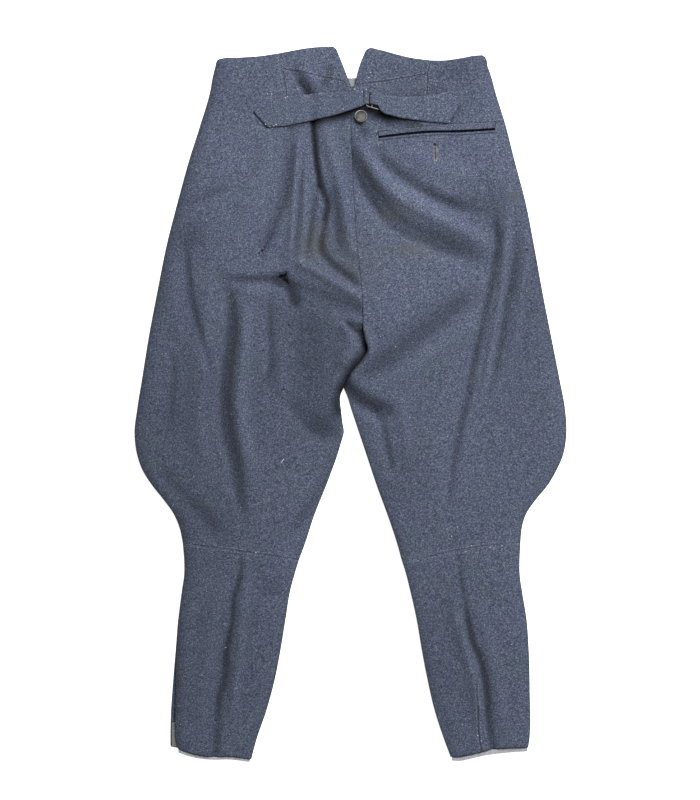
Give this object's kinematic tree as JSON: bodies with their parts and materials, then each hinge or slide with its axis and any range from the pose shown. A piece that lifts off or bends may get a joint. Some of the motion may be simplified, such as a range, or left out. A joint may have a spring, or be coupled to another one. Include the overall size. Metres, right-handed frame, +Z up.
{
  "type": "riding breeches",
  "caption": "Wool riding breeches laid flat with the back up: flared thighs, narrow calves, fishtail waist, half-belt with buckle, hip pocket.",
  "frame": {"origin": "middle of the garment's box, on the surface it lies on", "axes": "+Z up, from the floor to the back side of the breeches; +Y to the waist; +X to the right of the one who looks down on the back"},
  "size_m": [0.6056, 1.0016, 0.0179],
  "materials": {
    "wool": "blue-grey melange milled wool, matt with a short nap",
    "lining": "grey cotton twill",
    "tape": "grey herringbone cotton tape",
    "buckle_wire": "dull nickel-plated steel wire",
    "button_metal": "grey enamelled metal, worn"
  },
  "bodies": {
    "root": {"back_thigh_left": "wool", "back_thigh_right": "wool", "yoke_left": "wool", "yoke_right": "wool", "back_calf_left": "wool", "back_calf_right": "wool", "front_leg_left": "wool", "front_leg_right": "wool", "half_belt_left": "wool", "half_belt_right": "wool", "pocket_jet_upper": "wool", "pocket_jet_lower": "wool", "waist_lining": "lining", "hem_tape_left": "tape", "hem_tape_right": "tape", "vent_facing_left": "tape", "buckle": "buckle_wire", "button": "button_metal"}
  },
  "joints": []
}
